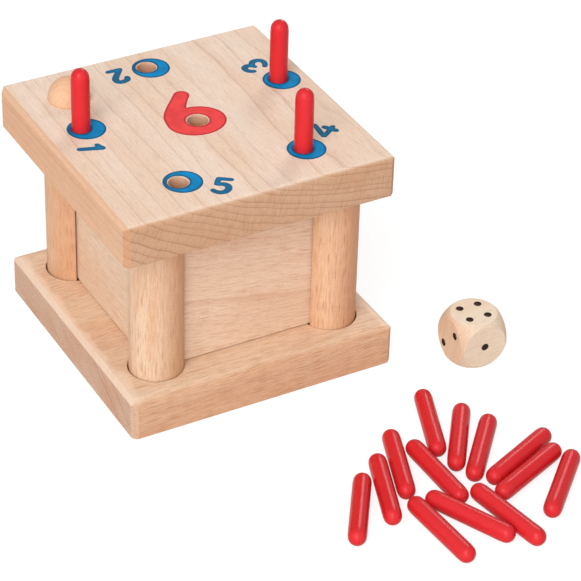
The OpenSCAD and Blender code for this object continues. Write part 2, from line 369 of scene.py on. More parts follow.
def even_years(t, radius, gap):
    """Rings about gap metres apart, some wide and some narrow."""
    years = calc(t, "DIVIDE", radius, gap)
    uneven = shade(t, "TexNoise", {"W": years, "Scale": 0.9, "Detail": 1, "Roughness": 0.5},
                   noise_dimensions="1D", normalize=True)
    return times_plus(t, uneven, 1.3, years)


def beech(name, wood, light, deep, line, fleck, middle, ring, flecks, wave, gap=None, lines=None,
          fibres=0.25, ring_end=None, rays=0.0, heartwood_shade=0.0, end=(235, 222, 214), side=(255, 255, 255),
          edge=(243, 214, 190), edge_depth=0.0, edge_reach=0.0, bored=(196, 152, 112),
          box=((0, 0, 0), (1, 1, 1))):
    """Beech in its wood frame: its colours, a point in the middle of the piece, how deep each mark
    shows, and the tints of its end grain, sides, sanded edges and bored walls."""
    m, t = blank(bpy.data.materials, name)
    from_pith = wood @ Vector(middle)
    g = use(t, GROWTH, Vector=in_tree(t, wood), Wave=wave)
    years = ring_years(t, g["Radius"], lines) if lines else even_years(t, g["Radius"], gap)
    at_end = marked(t, "end")
    f = use(t, BEECH, Vector=g["Vector"], Years=years, Light=light, Deep=deep, Line=line, Fleck=fleck,
            Ring_Depth=ease(t, at_end, 0.45, 0.98, ring, ring_end) if ring_end else ring,
            Fleck_Depth=flecks, Fibre_Depth=fibres, Ray_Depth=ease(t, at_end, 0.45, 0.98, 0.0, rays),
            Pith_Distance=math.hypot(from_pith.y, from_pith.z), Heartwood=heartwood_shade)
    s = use(t, FACES, Vector=here(t), Low=box[0], High=box[1], Color=f["Color"], Roughness=f["Roughness"],
            End_Tint=end, Side_Tint=side, Edge_Color=edge, Edge_Depth=edge_depth, Edge_Reach=edge_reach,
            Bored_Tint=bored)
    dress(t, s["Color"], s["Roughness"], f["Height"], 0.00006, 0.5, {"Specular IOR Level": 0.25})
    return m


def lacquer(name, colour, thin, roughness, under_gloss, coat, coat_ior, coat_tint):
    """Paint under a clear varnish that takes in a little light, so that it is deeper where it slants."""
    m, t = blank(bpy.data.materials, name)
    at = node(t, "ShaderNodeAttribute", attribute_name="grain").outputs["Vector"]
    f = use(t, LACQUER, Vector=at, Color=colour, Thin=thin, Roughness=roughness)
    dress(t, f["Color"], f["Roughness"], f["Height"], 0.00004, 0.35, {
        "Specular IOR Level": under_gloss, "Coat Weight": coat, "Coat IOR": coat_ior,
        "Coat Tint": srgb(*coat_tint), "Coat Roughness": 0.2})
    return m


def ink(name, wood, colour, rim):
    m, t = blank(bpy.data.materials, name)
    f = use(t, INK, Vector=in_tree(t, LID_FRAME), Wood=wood, Ink=colour, Rim_Ink=rim, Rim=marked(t, "rim"))
    dress(t, f["Color"], f["Roughness"], f["Height"], 0.00003, 0.35, {"Specular IOR Level": 0.05})
    return m


# The lid was sawn with its pith above and to the right. Its dark lines are these millimetres from it
LID_FRAME = wood_frame((0, 1, 0), (-1, 0, 0), (0.072, 0, 0.292))
LID_LINES = (196, 199, 202, 204, 206, 209.5, 212, 214, 217.5, 219.5, 222.5, 225.5, 228.5, 231, 233.5, 237.5,
             241.5, 244.5, 247.5, 252)
LID_WOOD = beech(
    "beech of the lid", LID_FRAME, (240, 218, 199), (235, 205, 180), (182, 133, 104), (200, 155, 126),
    middle=(0, 0, 0.084), lines=LID_LINES, ring=0.45, ring_end=1.0, flecks=0.3, fibres=0.2, wave=0.003,
    rays=0.35, end=(218, 196, 176), side=(237, 210, 187), edge_depth=0.1, edge_reach=0.001,
    bored=(218, 176, 138), box=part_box("lid_board"))
BASE_WOOD = beech(
    "beech of the base", wood_frame((1, 0, 0), (0, 1, 0), (0.3, 0.09, -0.175)),
    (230, 202, 174), (224, 186, 155), (194, 142, 105), (180, 124, 88),
    middle=(0, 0, 0.008), gap=0.003, ring=0.4, ring_end=1.0, flecks=0.55, fibres=0.6, wave=0.004,
    end=(234, 226, 227), side=(241, 222, 210), edge=(245, 220, 198), edge_depth=0.58, edge_reach=0.0055,
    box=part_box("base_board"))
PIN_WOOD = beech(
    "pale wood of the pin", wood_frame((0, 0, 1), (1, 0, 0), (-0.052, 0.02, 0)),
    (233, 191, 156), (222, 174, 138), (200, 142, 100), (206, 148, 108),
    middle=(-0.036, 0.036, 0.1), gap=0.0019, ring=0.5, flecks=0.25, wave=0.002, end=(255, 250, 246))
DIE_WOOD = beech(
    "pale wood of the die", wood_frame((1, 0, 0), (0, 1, 0), (0.3, 0.1, 0.05)),
    (240, 222, 200), (234, 211, 185), (206, 158, 118), (204, 170, 136),
    middle=(0.068, -0.0677, 0.01), gap=0.0016, ring=0.2, ring_end=0.75, flecks=0.2, wave=0.003,
    end=(240, 223, 212), side=(245, 241, 237))
PANEL_LOOK = dict(light=(235, 208, 182), deep=(229, 194, 164), line=(204, 150, 120), fleck=(198, 144, 114),
                  gap=0.0035, ring=0.45, flecks=0.5, fibres=0.55, wave=0.006)
# The posts' heartwood radius reaches only the side of each post nearest its pith, the side away from the key
# light: painted shade, as well as heartwood
POST_LOOK = dict(line=(196, 142, 104), fleck=(172, 114, 76), gap=0.0032, ring=0.4, flecks=0.6, fibres=0.6,
                 wave=0.003, heartwood_shade=0.037)
RED_PAINT = lacquer("red lacquer", (250, 126, 136), (252, 146, 142), 0.4, 0.0, 1.0, 1.22, (224, 108, 112))
BLACK_PAINT = lacquer("black lacquer", (44, 27, 14), (64, 44, 28), 0.5, 0.1, 0.02, 1.5, (255, 255, 255))
RED_INK = ink("red printing ink", (226, 140, 120), (243, 75, 75), (192, 50, 55))
BLUE_INK = ink("blue printing ink", (70, 140, 180), (0, 138, 198), (14, 88, 128))
NAVY_INK = ink("darker blue printing ink", (70, 130, 160), (6, 122, 174), (26, 97, 133))


# Mesh helpers
def corners(node_name, unit=MM):
    """A node's lowest and highest corners, in millimetres or in the given unit."""
    return [Vector(c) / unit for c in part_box(node_name)]


def loose_object(name, data):
    ob = bpy.data.objects.new(name, data)
    bpy.context.scene.collection.objects.link(ob)
    return ob


def mesh_object(bm, name, weld=1e-7):
    """An object of the finished mesh, its doubles closer than weld metres merged."""
    if weld:
        bmesh.ops.remove_doubles(bm, verts=bm.verts, dist=weld)
    bmesh.ops.recalc_face_normals(bm, faces=bm.faces)
    me = bpy.data.meshes.new(name)
    bm.to_mesh(me)
    bm.free()
    return loose_object(name, me)


def settle(ob):
    """Turns the object's modifiers into its plain mesh."""
    dg = bpy.context.evaluated_depsgraph_get()
    me = bpy.data.meshes.new_from_object(ob.evaluated_get(dg), preserve_all_data_layers=True, depsgraph=dg)
    ob.modifiers.clear()
    ob.data = me


def subtract(ob, bm):
    """Cuts the mesh bm out of an object."""
    cutter = mesh_object(bm, "cutter")
    m = ob.modifiers.new("cut", "BOOLEAN")
    m.operation, m.solver, m.object = "DIFFERENCE", "EXACT", cutter
    settle(ob)
    bpy.data.objects.remove(cutter)


def smooth_below(me, angle):
    me.shade_smooth()
    me.set_sharp_from_angle(angle=math.radians(angle))


def round_shading(ob, angle=38):
    """Smooth curves and arrises, with flat faces kept flat."""
    smooth_below(ob.data, angle)
    m = ob.modifiers.new("flat faces", "WEIGHTED_NORMAL")
    m.keep_sharp, m.weight = True, 100
    settle(ob)


def lathe(bm, profile, at, steps=64):
    """Spins (radius, height) points round the upright line through at, in millimetres."""
    rows = []
    for r, z in profile:
        turns = [2 * math.pi * k / steps for k in range(steps if r else 1)]
        rows.append([bm.verts.new(((at[0] + r * math.cos(a)) * MM, (at[1] + r * math.sin(a)) * MM, z * MM))
                     for a in turns])
    for a, b in zip(rows, rows[1:]):
        for k in range(steps):
            ring = [a[k % len(a)], a[(k + 1) % len(a)], b[(k + 1) % len(b)], b[k % len(b)]]
            unique = [v for j, v in enumerate(ring) if v not in ring[:j]]
            if len(unique) > 2:
                bm.faces.new(unique)


def arc(cx, cy, r, start, stop, steps):
    """Points on an arc, with its angles in degrees."""
    turns = [math.radians(start + (stop - start) * k / steps) for k in range(steps + 1)]
    return [(cx + r * math.cos(a), cy + r * math.sin(a)) for a in turns]


def circle(at, r, steps=72):
    return arc(at[0], at[1], r, 0, 360 - 360 / steps, steps - 1)


def draw_out(bm, faces, by, keep=False):
    """Extrudes faces by a step in millimetres."""
    drawn = bmesh.ops.extrude_face_region(bm, geom=faces, use_keep_orig=keep)["geom"]
    moved = [g for g in drawn if isinstance(g, bmesh.types.BMVert)]
    bmesh.ops.translate(bm, vec=[c * MM for c in by], verts=moved)
    bmesh.ops.recalc_face_normals(bm, faces=bm.faces)


def prism(points, by):
    """The solid that a flat outline makes as it is drawn out, all in millimetres."""
    bm = bmesh.new()
    draw_out(bm, [bm.faces.new([bm.verts.new([c * MM for c in p]) for p in points])], by)
    return bm


def slice_off(bm, at, outward):
    """Cuts away all that lies outside a plane, and closes the cut."""
    cut = bmesh.ops.bisect_plane(bm, geom=bm.verts[:] + bm.edges[:] + bm.faces[:], dist=1e-8,
                                 plane_co=at, plane_no=outward, clear_outer=True)
    edges = [g for g in cut["geom_cut"] if isinstance(g, bmesh.types.BMEdge)]
    if edges:
        bmesh.ops.contextual_create(bm, geom=edges)


def sand(bm, width, edges=None, sharper_than=30):
    """Rounds the given edges over, or all that turn by more than an angle in degrees."""
    sharp = edges or [e for e in bm.edges
                      if len(e.link_faces) == 2 and e.calc_face_angle(0) > math.radians(sharper_than)]
    bmesh.ops.bevel(bm, geom=sharp, offset=width * MM, offset_type="OFFSET", segments=2, profile=0.5,
                    affect="EDGES", clamp_overlap=not edges)


def mark_faces(me, along, bores=(), soft_edges=True):
    """Marks end grain, sides, chamfers and bored walls for the sanded faces group. bores holds each hole's
    middle and radius, in millimetres."""
    marks = {"end": [], "side": [], "eased": [], "bored": []}
    along = Vector(along)
    across = UP.cross(along)
    holes = [(Vector(at) * MM, r * MM) for at, r in bores]
    top = max(v.co.z for v in me.vertices)
    for p in me.polygons:
        n = p.normal
        wall = abs(n.z) < 0.9 or p.center.z < top - 0.5 * MM
        values = [abs(n.dot(along)), abs(n.dot(across)), 0.0, 0.0]
        if wall and any((p.center.xy - at).length < r for at, r in holes):
            values = [0.0, 0.0, 0.0, 1.0]
        elif soft_edges and 0.3 < abs(n.x) < 0.999:
            values[2] = 1.0 if n.z > 0.3 else 0.3
        for mark, value in zip(marks.values(), values):
            mark.extend([value] * p.loop_total)
    for name, mark in marks.items():
        me.attributes.new(name, "FLOAT", "CORNER").data.foreach_set("value", mark)


def add_vectors(me, name, vectors):
    """Stores a vector for each point."""
    flat = [c for v in vectors for c in v]
    me.attributes.new(name, "FLOAT_VECTOR", "POINT").data.foreach_set("vector", flat)


def piece(ob, material, body, stands_for=None):
    ob.data.materials.clear()
    ob.data.materials.append(material)
    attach(ob, body)
    if stands_for:
        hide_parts(stands_for)


# Boards
def board(name, node_name, front_r, back_r):
    """A square board: its section drawn out along X, its side edges and upright corners cut, and every
    arris sanded."""
    lo, hi = corners(node_name)
    section = [(lo.y + FOOT_CUT, lo.z), (hi.y - FOOT_CUT, lo.z), (hi.y, lo.z + FOOT_CUT)]
    section += arc(hi.y - back_r, hi.z - back_r, back_r, 0, 90, 8)
    section += arc(lo.y + front_r, hi.z - front_r, front_r, 90, 180, 8) + [(lo.y, lo.z + FOOT_CUT)]
    bm = prism([(lo.x, y, z) for y, z in section], (hi.x - lo.x, 0, 0))
    for s, x in ((-1, lo.x), (1, hi.x)):
        slice_off(bm, ((x - s * SIDE_CUT) * MM, 0, hi.z * MM), (s, 0, 1))
        slice_off(bm, ((x - s * FOOT_CUT) * MM, 0, lo.z * MM), (s, 0, -1))
        for u, y in ((-1, lo.y), (1, hi.y)):
            slice_off(bm, ((x - s * CORNER_CUT) * MM, y * MM, 0), (s, u, 0))
    sand(bm, BOARD_ARRIS, sharper_than=20)
    return mesh_object(bm, name)


def out_to(number):
    """The direction from the middle of the ring of holes to a hole."""
    a = math.radians(90 + 72 * (2 - number))
    return Vector((math.cos(a), math.sin(a)))


def ring_hole(number):
    return RING_AT + RING_R * out_to(number)


def hole_profile(r, bottom, top, mouth):
    """A bored hole with a lightly countersunk, sanded mouth."""
    return [(0, bottom), (r, bottom), (r, top - mouth - 0.08), (r + 0.03, top - mouth + 0.02),
            (r + mouth * 0.7, top - 0.06), (r + mouth + 0.03, top), (r + mouth + 0.06, top + 1), (0, top + 1)]


def plain_bore(r, bottom, top):
    return [(0, bottom), (r, bottom), (r, top), (0, top)]


def make_lid():
    ob = board("lid", "lid_board", LID_ROUND, LID_BACK_ROUND)
    lo, hi = corners("lid_board")
    pin_at = (-POST_OFF, POST_OFF)
    bores = [(RING_AT, DROP_HOLE_R + 0.04), (pin_at, PIN_HOLE_R + 0.1)]
    bm = bmesh.new()
    for number in range(1, 6):
        # A peg hides most of its hole's sanded mouth
        filled = number in STANDING
        mouth = FILLED_MOUTH if filled else MOUTH
        lathe(bm, hole_profile(RING_HOLE_R, hi.z - HOLE_DEPTH, hi.z, mouth), ring_hole(number))
        # Round a standing peg the bored mark reaches 0.2 mm past the hole, so the bored tint darkens the thin
        # ring at the peg's foot: painted shade
        bores.append((ring_hole(number), RING_HOLE_R + (0.2 if filled else 0.04)))
    lathe(bm, hole_profile(DROP_HOLE_R, lo.z - 1, hi.z, MOUTH), RING_AT)
    lathe(bm, plain_bore(PIN_HOLE_R, lo.z - 1, hi.z + 1), pin_at)
    subtract(ob, bm)
    round_shading(ob)
    mark_faces(ob.data, (0, 1, 0), bores)
    piece(ob, LID_WOOD, "lid", "lid_board")


def make_base():
    ob = board("base", "base_board", BASE_ROUND, BASE_ROUND)
    top = corners("base_board")[1].z
    wide = SOCKET_R + SOCKET_MOUTH
    socket = [(0, top - SOCKET_DEPTH), (SOCKET_R, top - SOCKET_DEPTH), (SOCKET_R, top - SOCKET_MOUTH),
              (wide, top), (wide, top + 1), (0, top + 1)]
    sockets = [(sx * SOCKET_OFF.x, sy * SOCKET_OFF.y) for sx in (-1, 1) for sy in (-1, 1)]
    bm = bmesh.new()
    for at in sockets:
        lathe(bm, socket, at, 96)
    subtract(ob, bm)
    round_shading(ob)
    mark_faces(ob.data, (1, 0, 0), [(at, SOCKET_R + 0.1) for at in sockets])
    piece(ob, BASE_WOOD, "box", "base_board")


# Posts, panels and pin
def make_post(seed, side, sx, sy, light, deep):
    """A dowel with a groove towards each neighbouring post."""
    lo, hi = corners("post_" + side)
    cx, cy = (lo.x + hi.x) / 2, (lo.y + hi.y) / 2
    half = GROOVE_W / 2
    gap = math.degrees(math.asin(half / POST_R))
    rim = POST_R * math.cos(math.radians(gap))
    # The grooves face the box's middle, along -sx and along -sy
    toward = sorted([0 if sx < 0 else 180, 90 if sy < 0 else 270])
    outline = []
    for k, a in enumerate(toward):
        ca, sa = math.cos(math.radians(a)), math.sin(math.radians(a))
        for along, across in ((rim, -half), (GROOVE_FLOOR, -half), (GROOVE_FLOOR, half), (rim, half)):
            outline.append((ca * along - sa * across, sa * along + ca * across))
        start, stop = a + gap, (toward[(k + 1) % 2] + (360 if k else 0)) - gap
        outline += arc(0, 0, POST_R, start, stop, round((stop - start) / 2.5))[1:-1]
    bm = prism([(cx + x, cy + y, lo.z) for x, y in outline], (0, 0, hi.z - lo.z))
    sand(bm, POST_ARRIS)
    ob = mesh_object(bm, "dowel_" + side)
    if side == "back_left":
        bm = bmesh.new()
        lathe(bm, plain_bore(PIN_BORE_R, hi.z - PIN_BORE_DEPTH, hi.z + 1), (cx, cy))
        subtract(ob, bm)
    round_shading(ob, 32)
    mark_faces(ob.data, UP, soft_edges=False)
    # Each dowel comes from another place in the tree, 0.045 m from its pith. Every pith lies off the post's
    # +X side, away from the key light, so the deeper heartwood colour falls on the post's shaded side:
    # painted shade, as well as heartwood
    a = math.radians(60 + 12 * seed)
    pith = (cx * MM + 0.045 * math.sin(a), cy * MM - 0.045 * math.cos(a), -0.4 * seed)
    wood = beech("beech of the post " + side, wood_frame(UP, (math.cos(a), math.sin(a), 0), pith),
                 light, deep, middle=(cx * MM, cy * MM, 0.05), **POST_LOOK)
    piece(ob, wood, "box", "post_" + side)


def make_panel(seed, side, length, slope):
    """A thin board that hangs in the posts' grooves. Its grain falls by slope degrees along its length."""
    lo, hi = corners("panel_" + side, 1)
    lo.z += PANEL_LIFT * MM
    middle = (lo + hi) / 2
    bm = bmesh.new()
    bmesh.ops.create_cube(bm, size=1, matrix=Matrix.Translation(middle) @ Matrix.Diagonal((*(hi - lo), 1)))
    sand(bm, PANEL_ARRIS)
    ob = mesh_object(bm, "wall_" + side)
    round_shading(ob)
    mark_faces(ob.data, length)
    # Sawn near the middle of a thick plank, so that the rings stand steeply across the panel
    a = math.radians(slope)
    along = Vector(length) * math.cos(a) - UP * math.sin(a)
    across = Vector(length) * math.sin(a) + UP * math.cos(a)
    pith = middle + along.cross(across) * 0.06 - across * (0.045 + 0.02 * seed) - along * 0.35 * seed
    wood = beech("beech of the panel " + side, wood_frame(along, across, pith), middle=middle, **PANEL_LOOK)
    piece(ob, wood, "box", "panel_" + side)


def make_pin():
    """The pivot pin: shank and domed head, with the head's rim eased."""
    lo, hi = corners("pivot_pin")
    under = hi.z - HEAD_H
    dome_h = HEAD_H - HEAD_RIM
    dome_r = (HEAD_R ** 2 + dome_h ** 2) / (2 * dome_h)
    start = math.degrees(math.asin(1 - dome_h / dome_r))
    shank = [(0, lo.z), (PIN_R - SHANK_EASE, lo.z), (PIN_R, lo.z + SHANK_EASE), (PIN_R, under)]
    rim = [(HEAD_R - HEAD_EASE, under), (HEAD_R - 0.1, under + 0.1), (HEAD_R, under + HEAD_EASE)]
    dome = arc(0, hi.z - dome_r, dome_r, start, 90, 20)[:-1] + [(0, hi.z)]
    bm = bmesh.new()
    lathe(bm, shank + rim + dome, (-POST_OFF, POST_OFF), 96)
    ob = mesh_object(bm, "pin")
    round_shading(ob, 50)
    mark_faces(ob.data, UP, soft_edges=False)
    piece(ob, PIN_WOOD, "box", "pivot_pin")


# Pegs
def end_tree(t, shape, i, o):
    """Ends a geometry node tree: real meshes, with their paint."""
    real = geo(t, "RealizeInstances", {"Geometry": shape})
    put(geo(t, "SetMaterial", {"Geometry": real, "Material": i["Paint"]}), o["Geometry"])
    return t


def turned_peg_tree():
    """Geometry nodes for a turned peg that stands on 0: a dowel with a ball on each end, a hair thinner
    than the dowel. The paint makes it swell and sag by a few hundredths."""
    t, i, o = new_tree(
        "turned peg", {"Float": "Radius, Length, Shoulder, Sag", "Int": "Seed", "Material": "Paint"},
        {"Geometry": "Geometry"}, "GeometryNodeTree")
    steps, end_share = 80, 0.38     # this share of the steps goes round each end, the rest along the dowel
    ball = calc(t, "SUBTRACT", i["Radius"], i["Shoulder"])
    line = geo(t, "CurvePrimitiveLine", {"End": (0, 0, 1)})
    points = geo(t, "ResampleCurve", {"Curve": line, "Count": steps + 1})
    along = times(t, geo(t, "InputIndex"), 1 / steps)

    def quarter(share):
        return times(t, calc(t, "DIVIDE", share, end_share, clamp=True), math.pi / 2)

    low, high = quarter(along), quarter(calc(t, "SUBTRACT", 1.0, along))
    middle = calc(t, "DIVIDE", calc(t, "SUBTRACT", along, end_share), 1 - 2 * end_share, clamp=True)
    straight = calc(t, "SUBTRACT", i["Length"], times(t, ball, 2.0))
    foot = times(t, ball, calc(t, "SUBTRACT", 1.0, calc(t, "COSINE", low)))
    height = calc(t, "ADD", foot, times(t, straight, middle))
    height = calc(t, "ADD", height, times(t, ball, calc(t, "COSINE", high)))
    on_dowel = times(t, calc(t, "GREATER_THAN", middle, 0.001), calc(t, "LESS_THAN", middle, 0.999))
    radius = times(t, ball, times(t, calc(t, "SINE", low), calc(t, "SINE", high)))
    radius = calc(t, "ADD", radius, times(t, i["Shoulder"], on_dowel))
    placed = geo(t, "SetPosition", {"Geometry": points, "Position": combine(t, z=height)})
    hoop = geo(t, "CurvePrimitiveCircle", {"Resolution": 48, "Radius": 1.0})
    tube = geo(t, "CurveToMesh", {"Curve": placed, "Profile Curve": hoop, "Scale": radius})
    closed = geo(t, "MergeByDistance", {"Geometry": tube, "Distance": 2e-6})
    at = geo(t, "InputPosition")
    lot = combine(t, x=times(t, i["Seed"], 0.37), z=i["Seed"])
    wave = noise(t, vmath(t, "ADD", vmath(t, "MULTIPLY", at, (130, 130, 60)), lot), None, 1)
    push = times(t, calc(t, "SUBTRACT", wave, 1.0), i["Sag"])
    sagged = geo(t, "SetPosition", {"Geometry": closed, "Offset": scaled(t, geo(t, "InputNormal"), push)})
    # The paint's own coordinates, kept from before the peg is laid in its place
    kept = geo(t, "StoreNamedAttribute", {
        "Geometry": sagged, "Name": "grain", "Value": vmath(t, "ADD", at, scaled(t, lot, 0.1))},
        data_type="FLOAT_VECTOR", domain="POINT")
    return end_tree(t, geo(t, "SetShadeSmooth", {"Geometry": kept, "Shade Smooth": True}), i, o)


def grow(name, tree, values, me=None):
    """Runs a geometry node tree with the given inputs, and returns the object of its plain mesh."""
    ob = loose_object(name, me or bpy.data.meshes.new(name))
    m = ob.modifiers.new("grow", "NODES")
    m.node_group = tree
    for item in tree.interface.items_tree:
        if item.in_out == "INPUT" and item.name in values:
            m[item.identifier] = values[item.name]
    ob.update_tag()
    settle(ob)
    return ob


def peg_place(node_name):
    """Where a peg stands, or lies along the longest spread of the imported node's own points."""
    lo, hi = corners(node_name, 1)
    middle = (lo + hi) / 2
    if hi.z - lo.z > PEG_LEN * MM * 0.9:
        return Matrix.Translation((middle.x, middle.y, lo.z))
    points = [v.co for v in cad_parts[node_name].data.vertices]
    far = max(points, key=lambda p: (p.xy - middle.xy).length)
    axis = Vector((far.x - middle.x, far.y - middle.y, 0)).normalized()
    if axis.y < 0:
        axis = -axis
    turn = axis.to_track_quat("Z", "X").to_matrix().to_4x4()
    return Matrix.Translation(middle - axis * PEG_LEN * MM / 2) @ turn


def make_peg(name, node_name, body, tree, seed):
    ob = grow(name, tree, {"Radius": PEG_R * MM, "Length": PEG_LEN * MM, "Shoulder": PEG_SHOULDER * MM,
                           "Sag": PAINT_SAG * MM, "Seed": seed, "Paint": RED_PAINT})
    ob.data.transform(peg_place(node_name))
    piece(ob, RED_PAINT, body, node_name)


# Die
DIE_FACES = [(number, Matrix.Rotation(math.radians(angle), 4, axis)) for number, axis, angle in (
    (4, "X", 0), (3, "X", 180), (1, "X", 90), (6, "X", -90), (2, "Y", -90), (5, "Y", 90))]


def pips():
    """Each pip's turn, and its place on its face in millimetres."""
    for number, turn in DIE_FACES:
        places = [(0, 0)] if number % 2 else []
        places += [(-1, 1), (1, -1)] if number > 1 else []
        places += [(-1, -1), (1, 1)] if number > 3 else []
        places += [(-1, 0), (1, 0)] if number > 5 else []
        for x, y in places:
            yield turn, x * PIP_STEP, y * PIP_STEP


def die_place():
    lo, hi = corners("die", 1)
    return Matrix.Translation((lo + hi) / 2) @ Matrix.Rotation(math.radians(DIE_TURN), 4, "Z")


def make_die():
    """A ball with six flats, which are the cube's faces, and a shallow dimple for each pip."""
    bm = bmesh.new()
    bmesh.ops.create_icosphere(bm, subdivisions=5, radius=DIE_BALL * MM)
    for _, turn in DIE_FACES:
        out = (turn @ UP).normalized()
        slice_off(bm, out * DIE_HALF * MM, out)
    bmesh.ops.recalc_face_normals(bm, faces=bm.faces)
    sand(bm, DIE_ARRIS, [e for e in bm.edges
                         if len(e.link_faces) == 2 and max(f.calc_area() for f in e.link_faces) > 1e-4])
    ob = mesh_object(bm, "die")
    bm = bmesh.new()
    for turn, x, y in pips():
        at = turn @ Vector((x, y, DIE_HALF - PIP_DEPTH + PIP_BALL))
        bmesh.ops.create_uvsphere(bm, u_segments=32, v_segments=24, radius=PIP_BALL * MM,
                                  matrix=Matrix.Translation(at * MM) @ turn)
    subtract(ob, bm)
    ob.data.transform(die_place())
    round_shading(ob, 30)
    mark_faces(ob.data, (1, 0, 0), soft_edges=False)
    piece(ob, DIE_WOOD, "cube_die", "die")


def painted_pips_tree():
    """Geometry nodes that set a drop of paint in each dimple, each a little out of round."""
    t, i, o = new_tree(
        "painted pips",
        {"Geometry": "Geometry", "Object": "Drop", "Float": "Uneven", "Int": "Seed", "Material": "Paint"},
        {"Geometry": "Geometry"}, "GeometryNodeTree")
    facing = geo(t, "InputNamedAttribute", {"Name": "facing"}, data_type="FLOAT_VECTOR")
    upright = node(t, "FunctionNodeAlignRotationToVector", {"Vector": facing}, axis="Z").outputs[0]
    least = calc(t, "SUBTRACT", 1.0, i["Uneven"])
    least = combine(t, least, least, 1.0)
    size = node(t, "FunctionNodeRandomValue", {0: least, 1: (1, 1, 1), "Seed": i["Seed"]},
                data_type="FLOAT_VECTOR").outputs[0]
    spin = node(t, "FunctionNodeRandomValue", {2: 0.0, 3: 6.2832, "Seed": calc(t, "ADD", i["Seed"], 7)},
                data_type="FLOAT").outputs[1]
    own = node(t, "FunctionNodeRotateRotation", {"Rotation": upright, "Rotate By": combine(t, z=spin)},
               rotation_space="LOCAL").outputs[0]
    drop = node(t, "GeometryNodeObjectInfo", {"Object": i["Drop"]}).outputs["Geometry"]
    drops = geo(t, "InstanceOnPoints", {
        "Points": i["Geometry"], "Instance": drop, "Rotation": own, "Scale": size})
    return end_tree(t, drops, i, o)


def make_pips():
    """The drops of paint follow the dimples and end level with the die's faces."""
    rim, steps = PIP_R - 0.02, 8
    profile = []
    for k in range(steps + 1):
        r = rim * k / steps
        bowl = PIP_BALL - PIP_DEPTH - math.sqrt(PIP_BALL ** 2 - r ** 2)
        profile.append((r, bowl + PIP_PAINT + (PIP_RIM_PAINT - PIP_PAINT) * (k / steps) ** 2))
    # The drop's root is hidden in the wood
    profile += [(rim, -0.12), (rim * 0.6, -0.5), (0, -0.6)]
    bm = bmesh.new()
    lathe(bm, profile, (0, 0), 32)
    drop = mesh_object(bm, "drop of paint")
    smooth_below(drop.data, 50)
    add_vectors(drop.data, "grain", [v.co for v in drop.data.vertices])
    place = die_place()
    me = bpy.data.meshes.new("pip spots")
    me.from_pydata([place @ (turn @ Vector((x, y, DIE_HALF)) * MM) for turn, x, y in pips()], [], [])
    add_vectors(me, "facing", [place.to_3x3() @ turn.to_3x3() @ UP for turn, x, y in pips()])
    values = {"Drop": drop, "Uneven": 0.07, "Seed": 5, "Paint": BLACK_PAINT}
    ob = grow("pips", painted_pips_tree(), values, me)
    bpy.data.objects.remove(drop)
    piece(ob, BLACK_PAINT, "cube_die")


# Prints
def brush(points, steps=7):
    """The outline of a brush stroke through (x, y, half width) points, with round ends."""
    pts = [points[0]] + list(points) + [points[-1]]
    line = []
    for four in zip(pts, pts[1:], pts[2:], pts[3:]):
        for k in range(steps):
            s = k / steps
            line.append([0.5 * (2 * b + (c - a) * s + (2 * a - 5 * b + 4 * c - d) * s * s
                                + (3 * b - a - 3 * c + d) * s ** 3) for a, b, c, d in zip(*four)])
    line.append(list(points[-1]))
    left, right, headings = [], [], []
    for k, (x, y, w) in enumerate(line):
        a, b = line[max(k - 1, 0)], line[min(k + 1, len(line) - 1)]
        d = Vector((b[0] - a[0], b[1] - a[1])).normalized()
        left.append((x - d.y * w, y + d.x * w))
        right.append((x + d.y * w, y - d.x * w))
        headings.append(math.degrees(math.atan2(d.y, d.x)))
    cap_end = arc(*line[-1], headings[-1] + 90, headings[-1] - 90, 8)[1:-1]
    cap_start = arc(*line[0], headings[0] - 90, headings[0] - 270, 8)[1:-1]
    return left + cap_end + right[::-1] + cap_start


# Strokes of the digits, in millimetres about each digit's middle: x, y, half width
DIGITS = {
    1: [[(-0.45, 4.1, 1.1), (-0.5, 0, 1.08), (-0.55, -4.1, 1.0)],
        [(-0.5, 4.0, 1.15), (-1.6, 3.1, 1.05), (-2.7, 2.5, 0.95)]],
    2: [[(-3.2, 2.4, 1.0), (-2.6, 3.9, 1.1), (-0.7, 4.6, 1.15), (1.1, 4.1, 1.2), (1.5, 2.4, 1.25),
         (0.6, 0.5, 1.2), (-1.2, -1.8, 1.15), (-2.9, -4.0, 1.1)],
        [(-3.2, -4.15, 0.95), (-0.6, -4.15, 1.0), (1.6, -4.2, 0.95)]],
    3: [[(-2.7, 3.2, 0.95), (-1.5, 4.4, 1.05), (0.3, 4.6, 1.1), (1.7, 3.6, 1.15), (1.7, 1.9, 1.15),
         (0.6, 0.8, 1.0), (-0.6, 0.4, 0.8)],
        [(0.2, 0.6, 0.9), (1.8, -0.4, 1.1), (2.6, -2.0, 1.15), (1.9, -3.9, 1.15), (0.2, -4.7, 1.1),
         (-1.7, -3.9, 1.0), (-2.8, -2.7, 0.9)]],
    4: [[(2.0, 4.4, 0.9), (0.3, 2.4, 0.95), (-1.7, 0.2, 0.95), (-3.3, -1.7, 0.9)],
        [(-3.2, -2.0, 0.9), (0.5, -2.05, 0.95), (4.1, -2.0, 0.9)],
        [(2.4, 0.5, 1.05), (2.35, -2.0, 1.1), (2.3, -4.1, 1.05)]],
    5: [[(-1.9, 4.2, 0.95), (0.4, 4.25, 0.95), (2.4, 4.3, 0.9)],
        [(-2.0, 4.2, 0.95), (-2.15, 2.4, 0.95), (-2.2, 0.6, 0.9)],
        [(-1.7, 0.5, 0.85), (0.0, 0.9, 1.1), (1.7, 0.2, 1.15), (2.4, -1.6, 1.2), (1.7, -3.7, 1.15),
         (-0.2, -4.7, 1.1), (-2.0, -4.3, 1.0), (-2.9, -3.6, 0.9)]],
}
# The big six: an oval bowl, by its middle and half widths, and a stroke for its stem
SIX_BOWL = (-1.1, 1.0, 11.4, 10.05)
SIX_STEM = [(2.1, 19.9, 3.05), (-0.9, 16.2, 3.2), (-4.1, 11.8, 3.8), (-6.9, 6.8, 4.4), (-8.2, 2.0, 4.2)]


